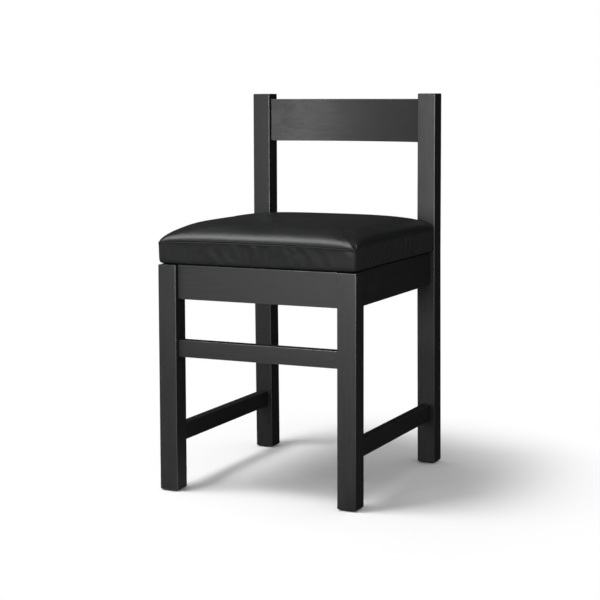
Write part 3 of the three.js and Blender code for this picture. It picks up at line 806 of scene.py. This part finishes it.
    def fold_corners(self, boxing, flat, around):
        """The boxing stands up in a ridge at each front corner, with a soft fold beside it."""
        total = around[-1] + 0.005
        for place, towards in ((0.0, 1), (around[WIDE], -1)):
            gone = (around - place + total / 2) % total - total / 2
            down = np.linalg.norm(boxing - boxing[:1], axis=2)
            ridge = 0.0006 * bell(gone, 0.0028) - 0.0005 * bell(np.abs(gone) - 0.0085, 0.0035)
            fade = share_of(down / 0.004) * share_of((0.045 - down) / 0.012)
            dimple = -0.0007 * bell(gone * towards - 0.0048, 0.0022) * bell(down - 0.0058, 0.0024)
            boxing += flat[None] * (ridge[None] * fade + dimple)[..., None]


class CHAIR_OT_filling(bpy.types.Operator):
    """Foam slab inside the cover, wrapped down over the board's edge"""

    bl_idname = "chair.filling"
    bl_label = "Foam filling"

    def execute(self, context):
        s = context.scene.choir_chair_cushion
        form = CushionForm(s, FOAM_INSIDE)
        rows, grid, kept, loop = cushion_rows(form)
        ring = len(loop)
        board_top = board_high.z + FOAM_CLEAR
        sides = rows[len(FLANGE) + 1 :]
        shift = board_low.y - border_low.y - FOAM_CLEAR - form.inside
        x, y = form.spots(shift, loop // (DEEP + 1), loop % (DEEP + 1))
        foot = sides[0][0, 2]
        heights = (board_top, (board_top + foot) / 2, foot)
        rebate = [places(x, y, z) for z in heights]
        flat = grid * (1, 1, 0) + (0, 0, board_top)
        points = np.concatenate([*rebate, sides.reshape(-1, 3), grid, flat])
        over = (len(rebate) + len(sides)) * ring
        under = over + len(grid)
        numbers = np.arange(over).reshape(-1, ring)
        faces = skin([*numbers, loop + over]) + list(band(loop + under, numbers[0]))
        faces += list(grid_faces(kept) + over) + list(grid_faces(kept)[:, ::-1] + under)
        used = np.unique(np.concatenate([np.ravel(f) for f in faces]))
        place = np.full(len(points), -1)
        place[used] = np.arange(len(used))
        faces = [place[np.array(f)] for f in faces]
        cream = cream_foam("cream_foam")
        foam = make_piece("cushion_foam", points[used], faces, cream, ["seat_foam"])
        return {"FINISHED"}


class CHAIR_OT_timber(bpy.types.Operator):
    """Black satin lacquer on legs, posts, aprons, stretchers and back rail, with softened arrises"""

    bl_idname = "chair.timber"
    bl_label = "Lacquered frame"

    upright = ("front_leg_left", "front_leg_right", "rear_post_left", "rear_post_right")
    across = ("front_apron", "rear_apron", "front_stretcher", "back_rail")
    deep = ("side_apron_left", "side_apron_right", "side_stretcher_left", "side_stretcher_right")

    def execute(self, context):
        s = context.scene.choir_chair_lacquer
        soften = self.softener()
        for axis, names in ((2, self.upright), (0, self.across), (1, self.deep)):
            material = black_lacquer(f"black_lacquer_{'xyz'[axis]}", axis, s)
            for name in names:
                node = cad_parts[name]
                node.material_slots[0].material = material
                node.modifiers.new("Softer arris", "NODES").node_group = soften
                even = node.modifiers.new("Even faces", "WEIGHTED_NORMAL")
                even.mode, even.weight, even.keep_sharp = "FACE_AREA", 100, True
        return {"FINISHED"}

    def softener(self):
        """Joins the faces at their edges and shades across an arris, but not across a square shoulder."""
        group = bpy.data.node_groups.new("soften_arris", "GeometryNodeTree")
        group.interface.new_socket("Geometry", in_out="INPUT", socket_type="NodeSocketGeometry")
        group.interface.new_socket("Geometry", in_out="OUTPUT", socket_type="NodeSocketGeometry")
        shade = "GeometryNodeSetShadeSmooth"
        kinds = ("NodeGroupInput", "GeometryNodeMergeByDistance", shade, shade, "NodeGroupOutput")
        chain = [group.nodes.new(kind) for kind in kinds]
        for a, b in zip(chain, chain[1:]):
            group.links.new(a.outputs[0], b.inputs[0])
        chain[1].inputs["Distance"].default_value = 0.00001
        angle = group.nodes.new("GeometryNodeInputMeshEdgeAngle")
        square = group.nodes.new("FunctionNodeCompare")
        square.inputs["B"].default_value = math.radians(60)
        group.links.new(angle.outputs["Unsigned Angle"], square.inputs["A"])
        chain[3].domain = "EDGE"
        group.links.new(square.outputs[0], chain[3].inputs["Selection"])
        for node, smooth in ((chain[2], True), (chain[3], False)):
            node.inputs["Shade Smooth"].default_value = smooth
        return group


class CHAIR_OT_seat_base(bpy.types.Operator):
    """Plywood seat board and glued beech corner blocks"""

    bl_idname = "chair.seat_base"
    bl_label = "Board and blocks"

    def execute(self, context):
        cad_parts["seat_board"].material_slots[0].material = birch_ply("birch_ply")
        block = beech("planed_beech")
        for name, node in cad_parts.items():
            if name.startswith("corner_block"):
                node.material_slots[0].material = block
        return {"FINISHED"}


# A screw's head, in shares of its radius and height: loops over the cross recess, then its rim down to the
# shank. Next, sides of a turned piece, and steps of the thread in a turn
RECESS = (0.02, 0.09, 0.16, 0.22, 0.28, 0.34, 0.40, 0.46, 0.52, 0.60)
HEAD_RIM = ((0.78, 0.90), (0.93, 0.68), (1.0, 0.38), (1.0, 0.05), (0.97, 0.0))
SIDES, THREAD_STEPS = 48, 6


class CHAIR_OT_fastenings(bpy.types.Operator):
    """Zinc-plated wood screws with a cross recess and cut threads"""

    bl_idname = "chair.fastenings"
    bl_label = "Screws"

    def execute(self, context):
        s = context.scene.choir_chair_screws
        steel = zinc_steel("zinc_steel")
        kinds = (("block_screw", s.block_shank, s.block_head), ("seat_screw", s.seat_shank, s.seat_head))
        for kind, shank, tall in kinds:
            shared = None
            for name in sorted(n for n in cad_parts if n.startswith(kind)):
                low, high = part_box(name)
                size, middle = high - low, (low + high) / 2
                along = max(range(3), key=lambda k: size[k])
                ahead = Vector([0.0] * 3)
                ahead[along] = 1.0 if kind == "seat_screw" or middle[along] > 0 else -1.0
                if shared is None:
                    points, faces = self.screw(min(size) / 2, shank, tall, size[along] - tall, s)
                    shared = make_mesh(f"zinc_{kind}", points, faces, steel)
                at = middle - ahead * (size[along] / 2 - tall)
                turn = Vector((0, 0, 1)).rotation_difference(ahead).to_matrix().to_4x4()
                place_piece(f"zinc_{name}", shared, [name], Matrix.Translation(at) @ turn)
        return {"FINISHED"}

    def screw(self, head, shank, tall, long, s):
        """Points and faces of a screw along z: its head below 0, then shank, thread and point."""
        rows = []
        for out in RECESS:
            flat = circle(SIDES, out * head, -tall)
            arm = share_of((s.slot - np.abs(flat[:, :2]).min(1)) / (0.25 * s.slot))
            flat[:, 2] += arm * tall * 0.6 * max(0.0, 1 - (out / 0.56) ** 2) ** 0.5
            rows.append(flat)
        rows += [circle(SIDES, out * head, -z * tall) for out, z in HEAD_RIM]
        bare, tip, step = 0.34 * long, 3.2 * shank, s.pitch / THREAD_STEPS
        turns = np.arange(SIDES) / SIDES
        for z in np.concatenate([[0.0, bare], np.arange(bare + step, long - 1e-5, step), [long]]):
            crest = 1 - np.abs(2 * ((z / s.pitch - turns) % 1) - 1) / 0.55
            cut = s.depth * share_of(crest) * share_of((z - bare) / s.pitch)
            core = shank - (s.depth * min(1.0, max(0.0, z - bare) / s.pitch))
            rows.append(circle(SIDES, (core + cut) * min(1.0, max(0.06, (long - z) / tip)), z))
        return np.concatenate(rows), closed(np.arange(len(rows) * SIDES).reshape(-1, SIDES))


# A glide's foot, from its underside round its rim: how far in from the rim, and how high
GLIDE_RIM = ((0.0021, 0), (0.0012, 0.00012), (0.0005, 0.0005), (0.0001, 0.001), (0, 0.0014), (0, 0.002))


class CHAIR_OT_glides(bpy.types.Operator):
    """Moulded nylon glides nailed in under the legs"""

    bl_idname = "chair.glides"
    bl_label = "Glides"

    def execute(self, context):
        nylon = black_nylon("black_nylon")
        radius, tall = (glide_high.x - glide_low.x) / 2, glide_high.z
        outline = [(0.0006, 0.0), *((radius - inward, z) for inward, z in GLIDE_RIM)]
        outline += [(0.0017, 0.0020), (0.0015, 0.0024), (0.0015, tall - 0.004), (0.0002, tall)]
        for name in sorted(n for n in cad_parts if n.startswith("glide")):
            low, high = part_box(name)
            points, faces = lathe(outline, SIDES)
            points = points + ((low.x + high.x) / 2, (low.y + high.y) / 2, 0.0)
            make_piece(f"nylon_{name}", points, faces, nylon, [name])
        return {"FINISHED"}


# How much of the cambric's corners is folded in, its cells across and deep, and a quad's other way round
FOLD, CLOTH_CELLS, FLIP = 0.0195, (48, 54), [0, 3, 2, 1]


class CHAIR_OT_dust_cover(bpy.types.Operator):
    """Black cambric stapled under the board"""

    bl_idname = "chair.dust_cover"
    bl_label = "Dust cover"

    def execute(self, context):
        cambric = black_cambric("black_cambric")
        across, deep = cloth_high.x - cloth_low.x, cloth_high.y - cloth_low.y
        u, v = np.meshgrid(*(np.linspace(0, 1, cells + 1) for cells in CLOTH_CELLS), indexing="ij")
        x = (u - 0.5) * across
        y = cloth_low.y + v * deep
        from_side, from_end = across / 2 - np.abs(x), np.minimum(y - cloth_low.y, cloth_high.y - y)
        cut = np.maximum(FOLD - from_side - from_end, 0) / 2
        x -= np.sign(x) * cut
        y += np.where(v < 0.5, cut, -cut)
        inner = np.minimum(from_side, from_end)
        sag = 0.0009 * share_of(inner / 0.05) ** 0.7
        pleats = 0.0003 * np.sin(x * 420 + 1.3 * np.sin(y * 37)) * np.sin(y * 390 + 1.1 * np.sin(x * 31))
        z = cloth_low.z + 0.0004 - sag + pleats * np.exp(-inner / 0.02)
        points = places(x, y, z).reshape(-1, 3)
        faces = quads(*CLOTH_CELLS)[:, FLIP]
        cloth = make_piece("cambric_sheet", points, faces, cambric, ["dust_cover"])
        self.staples(context.scene.choir_chair_screws, across, deep)
        return {"FINISHED"}

    def staples(self, s, across, deep):
        """A row of staples along each edge of the cloth, none of them quite straight."""
        rng = np.random.default_rng(11)
        half, wire = s.staple / 2, s.wire / 2
        path = [(-half, 0.0016), (-half, -0.0001), (-half + 0.0004, -wire)]
        path += [(-reach, rise) for reach, rise in reversed(path)]
        points, faces = [], []
        middle = (cloth_low.y + cloth_high.y) / 2
        for side in range(4):
            along, away = (across, deep) if side % 2 else (deep, across)
            count = int((along - 2 * FOLD - s.staple) // s.spacing) + 1
            for k in range(count):
                turn = side * math.pi / 2 + rng.uniform(-0.12, 0.12)
                at = ((k + 0.5) / count - 0.5) * (along - 2 * FOLD) + rng.uniform(-0.003, 0.003)
                out = away / 2 - 0.0065 + rng.uniform(-0.0012, 0.0012)
                ends = [(math.cos(side * math.pi / 2), math.sin(side * math.pi / 2))]
                ends.append((-ends[0][1], ends[0][0]))
                x = ends[0][0] * out + ends[1][0] * at
                y = ends[0][1] * out + ends[1][1] * at + middle
                lie = (-math.sin(turn), math.cos(turn))
                first = len(points)
                for reach, rise in path:
                    for a, b in ((-wire, -wire), (wire, -wire), (wire, wire), (-wire, wire)):
                        tilt = b if abs(reach) < half - 0.0002 else 0.0
                        lean = 0.0 if tilt else b * (1 if reach > 0 else -1)
                        px = x + lie[0] * (reach + lean) + lie[1] * a * 1.7
                        py = y + lie[1] * (reach + lean) - lie[0] * a * 1.7
                        points.append((px, py, cloth_low.z + rise + tilt))
                faces += closed(np.arange(first, len(points)).reshape(-1, 4))
        mesh = make_mesh("cambric_staples", points, faces, bpy.data.materials["zinc_steel"])
        mesh.shade_flat()
        place_piece("cambric_staples", mesh)


# Studio

# Profile of the black cloth, from under the chair outwards and up: radius and height
SWEEP = ((0.02, 0.002), (0.3, 0.002), (0.8, 0.002), (1.3, 0.004), (1.6, 0.05), (1.8, 0.2))
SWEEP += ((1.9, 0.5), (1.92, 1.0), (1.85, 1.6), (1.65, 2.1), (1.3, 2.5), (0.85, 2.8))
# Name, place, target, size, setting that holds the power, and whether it lights the chair
LAMPS = (
    ("top_softbox", (-0.75, -0.75, 2.2), (0, 0, 0.48), (1.0, 0.8), "top", True),
    ("top_card", (-0.8, -0.2, 2.3), (-0.1, -0.15, 0.5), (1.0, 1.6), "shine", False),
    ("key_card", (0.0, -2.0, 0.74), (0, 0, 0.6), (1.4, 0.62), "key", False),
    ("side_card", (2.3, -0.3, 0.6), (0, 0, 0.4), (1.2, 1.4), "side", False),
    ("left_card", (-2.0, -1.5, 0.85), (0, 0, 0.6), (0.7, 1.0), "left", False),
)
# Distances from the chair between which the floor fades to plain white
FADE = (0.28, 0.7)
# The photograph's camera: place, turn, tilt and roll in degrees, focal length and lens shift. The shift is
# less than the edges ask for, and the tilt makes up for it
CAMERA_PLACE, CAMERA_TURN = (1.30693, -2.85076, 0.76558), (24.8929, 5.3277, -0.1818)
CAMERA_LENS, CAMERA_SHIFT = 95.217, (0.00157, -0.1)


class CHAIR_OT_studio(bpy.types.Operator):
    """Pale floor, overhead softbox, cards and black cloth for the gloss, and the camera"""

    bl_idname = "chair.studio"
    bl_label = "Studio"

    def execute(self, context):
        s = context.scene.choir_chair_studio
        context.scene.view_settings.view_transform = "Standard"
        self.world(context.scene, s)
        self.floor(s)
        for name, place, target, size, power, lights in LAMPS:
            self.softbox(name, place, target, size, getattr(s, power), lights)
        self.sweep("black_sweep", s, (-115, 105), SWEEP)
        self.sweep("black_runner", s, (105, 150), SWEEP[:4])
        self.camera(context.scene)
        return {"FINISHED"}

    def seen_by_eye(self, r):
        """1 for what the camera sees, itself or in the gloss, and 0 for light that falls on the chair."""
        kinds = ("Camera", "Glossy", "Transmission")
        a, b, c = (r.node("ShaderNodeLightPath", output=f"Is {kind} Ray") for kind in kinds)
        return a.maths("MAXIMUM", a.maths("MAXIMUM", a, b), c)

    def white(self, r, kind, strength):
        return r.node(f"ShaderNode{kind}", values={"Color": (1, 1, 1, 1), "Strength": strength})

    def world(self, scene, s):
        scene.world = bpy.data.worlds.new("studio_air")
        r = Recipe(scene.world)
        soft, white = (self.white(r, "Background", strength) for strength in (s.ambient, 1.0))
        both = r.node("ShaderNodeMixShader", values={0: self.seen_by_eye(r), 1: soft, 2: white})
        r.end(both, "ShaderNodeOutputWorld")

    def stand(self, name, points, faces, material):
        """A thing of the studio, linked to the scene."""
        mesh = bpy.data.meshes.new(name)
        mesh.from_pydata(points, [], faces)
        mesh.materials.append(material)
        thing = bpy.data.objects.new(name, mesh)
        bpy.context.scene.collection.objects.link(thing)
        return thing

    def floor(self, s):
        points, faces = lathe([(s.floor_radius, -0.02), (s.floor_radius, 0.0)], 96)
        r = recipe("pale_floor")
        mottle = r.noise(r.place(), 0.4, 3.0)
        tone = r.tint(mottle, [c * 0.985 for c in s.floor_tone], s.floor_tone)
        lit = r.node("ShaderNodeBsdfDiffuse", values={"Color": tone})
        white = self.white(r, "Emission", 1.0)
        away = r.vector("LENGTH", r.place((1.0, 1.0, 0.0)), output="Value")
        fade = r.span(away, *FADE) * self.seen_by_eye(r)
        r.end(r.node("ShaderNodeMixShader", values={0: fade, 1: lit, 2: white}))
        floor = self.stand("studio_floor", points.tolist(), [[int(k) for k in f] for f in faces], r.owner)

    def aimed(self, thing, place, target):
        bpy.context.scene.collection.objects.link(thing)
        thing.location = place
        thing.rotation_mode = "QUATERNION"
        thing.rotation_quaternion = (Vector(target) - Vector(place)).to_track_quat("-Z", "Y")
        thing.visible_camera = False
        return thing

    def softbox(self, name, place, target, size, power, lights=True):
        """A softbox that lights the chair, or a card that only shows in the gloss of its faces."""
        lamp = bpy.data.lights.new(name, "AREA")
        lamp.shape, lamp.size, lamp.size_y, lamp.energy = "RECTANGLE", size[0], size[1], power
        stand = self.aimed(bpy.data.objects.new(name, lamp), place, target)
        stand.visible_diffuse, stand.visible_glossy = lights, not lights

    def sweep(self, name, s, turned, profile):
        """Black cloth that lies round the chair and curves up behind it. Only reflections see it."""
        turns = np.radians(np.arange(turned[0], turned[1] + 1, 5))
        points = [(r * math.sin(a), r * math.cos(a), z) for a in turns for r, z in profile]
        faces = quads(len(turns) - 1, len(profile) - 1)[:, FLIP].tolist()
        r = recipe(name)
        nap = r.noise(r.place(), 0.004, 3.0)
        r.surface(r.tint(nap, s.sweep_tone, [c * 1.5 for c in s.sweep_tone]), 0.95)
        cloth = self.stand(name, points, faces, r.owner)
        cloth.visible_camera = cloth.visible_diffuse = False
        cloth.visible_shadow = cloth.visible_transmission = False

    def camera(self, scene):
        yaw, pitch, roll = (math.radians(a) for a in CAMERA_TURN)
        ahead = Vector((-math.sin(yaw) * math.cos(pitch), math.cos(yaw) * math.cos(pitch), -math.sin(pitch)))
        level = Vector((math.cos(yaw), math.sin(yaw), 0.0))
        above = level.cross(ahead)
        right = level * math.cos(roll) + above * math.sin(roll)
        up = above * math.cos(roll) - level * math.sin(roll)
        lens = bpy.data.cameras.new("chair_camera")
        lens.sensor_width, lens.lens = 36.0, CAMERA_LENS
        lens.shift_x, lens.shift_y = CAMERA_SHIFT
        lens.clip_start, lens.clip_end = 0.05, 60.0
        camera = bpy.data.objects.new("chair_camera", lens)
        scene.collection.objects.link(camera)
        turn = Matrix((right, up, -ahead)).transposed().to_4x4()
        camera.matrix_world = Matrix.Translation(CAMERA_PLACE) @ turn
        scene.camera = camera


WORK = (
    CHAIR_OT_timber,
    CHAIR_OT_seat_base,
    CHAIR_OT_fastenings,
    CHAIR_OT_glides,
    CHAIR_OT_filling,
    CHAIR_OT_cover,
    CHAIR_OT_dust_cover,
    CHAIR_OT_studio,
)


class CHAIR_PT_panel(bpy.types.Panel):
    """Lists the steps of dressing the chair"""

    bl_idname = "CHAIR_PT_panel"
    bl_label = "Choir chair"
    bl_space_type = "VIEW_3D"
    bl_region_type = "UI"
    bl_category = "Choir chair"

    def draw(self, context):
        for step in WORK:
            self.layout.operator(step.bl_idname)


SETTINGS = {
    "choir_chair_lacquer": ChairLacquer,
    "choir_chair_leather": ChairLeather,
    "choir_chair_cushion": ChairCushion,
    "choir_chair_screws": ChairScrews,
    "choir_chair_studio": ChairStudio,
}


def register():
    for kind in (*SETTINGS.values(), *WORK, CHAIR_PT_panel):
        bpy.utils.register_class(kind)
    for name, kind in SETTINGS.items():
        setattr(bpy.types.Scene, name, PointerProperty(type=kind))


def unregister():
    for name in SETTINGS:
        delattr(bpy.types.Scene, name)
    for kind in reversed((*SETTINGS.values(), *WORK, CHAIR_PT_panel)):
        bpy.utils.unregister_class(kind)


def main():
    register()
    for step in WORK:
        group, name = step.bl_idname.split(".")
        getattr(getattr(bpy.ops, group), name)()


if __name__ == "__main__":
    main()
